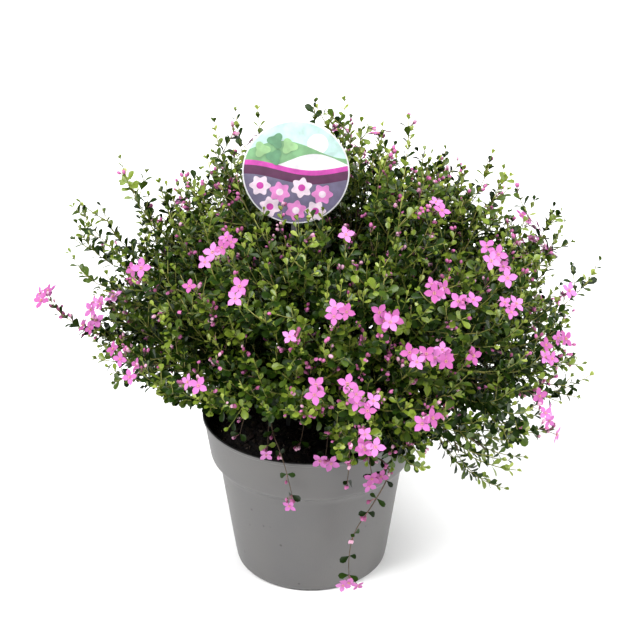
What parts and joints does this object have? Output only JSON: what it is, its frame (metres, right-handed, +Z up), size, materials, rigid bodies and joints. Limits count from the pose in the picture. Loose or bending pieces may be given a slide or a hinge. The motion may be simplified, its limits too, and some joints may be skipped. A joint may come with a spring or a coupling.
{
  "type": "potted shrub",
  "caption": "Bushy pink-flowering shrub in a round tapered pot, with a round plant label on a stake.",
  "frame": {"origin": "middle of the pot's flat underside, on the ground", "axes": "+Z up the pot's axis; -Y is the side that the picture was taken from, and +X is to its right"},
  "size_m": [0.4669, 0.4229, 0.4252],
  "materials": {
    "pot_plastic": "matte",
    "compost": "matte",
    "bark": "matte",
    "foliage": "satin",
    "label_card": "satin"
  },
  "bodies": {
    "root": {"pot": "pot_plastic", "soil": "compost", "stem": "bark", "label": "label_card", "bough_side_right_back": "bark", "bough_side_back_right": "bark", "bough_side_back_left": "bark", "bough_side_left_back": "bark", "bough_side_left_front": "bark", "bough_side_front_left": "bark", "bough_side_front_right": "bark", "bough_side_right_front": "bark", "bough_upper_right": "bark", "bough_upper_back": "bark", "bough_upper_left": "bark", "bough_upper_front_left": "bark", "bough_upper_front_right": "bark", "bough_top_right": "bark", "bough_top_back": "bark", "bough_top_front": "bark", "bough_spray_lower_right": "bark", "bough_spray_hanging_front": "bark", "foliage_side_right_back": "foliage", "foliage_side_back_right": "foliage", "foliage_side_back_left": "foliage", "foliage_side_left_back": "foliage", "foliage_side_left_front": "foliage", "foliage_side_front_left": "foliage", "foliage_side_front_right": "foliage", "foliage_side_right_front": "foliage", "foliage_upper_right": "foliage", "foliage_upper_back": "foliage", "foliage_upper_left": "foliage", "foliage_upper_front_left": "foliage", "foliage_upper_front_right": "foliage", "foliage_top_right": "foliage", "foliage_top_back": "foliage", "foliage_top_front": "foliage", "foliage_spray_lower_right": "foliage", "foliage_spray_hanging_front": "foliage"}
  },
  "joints": []
}
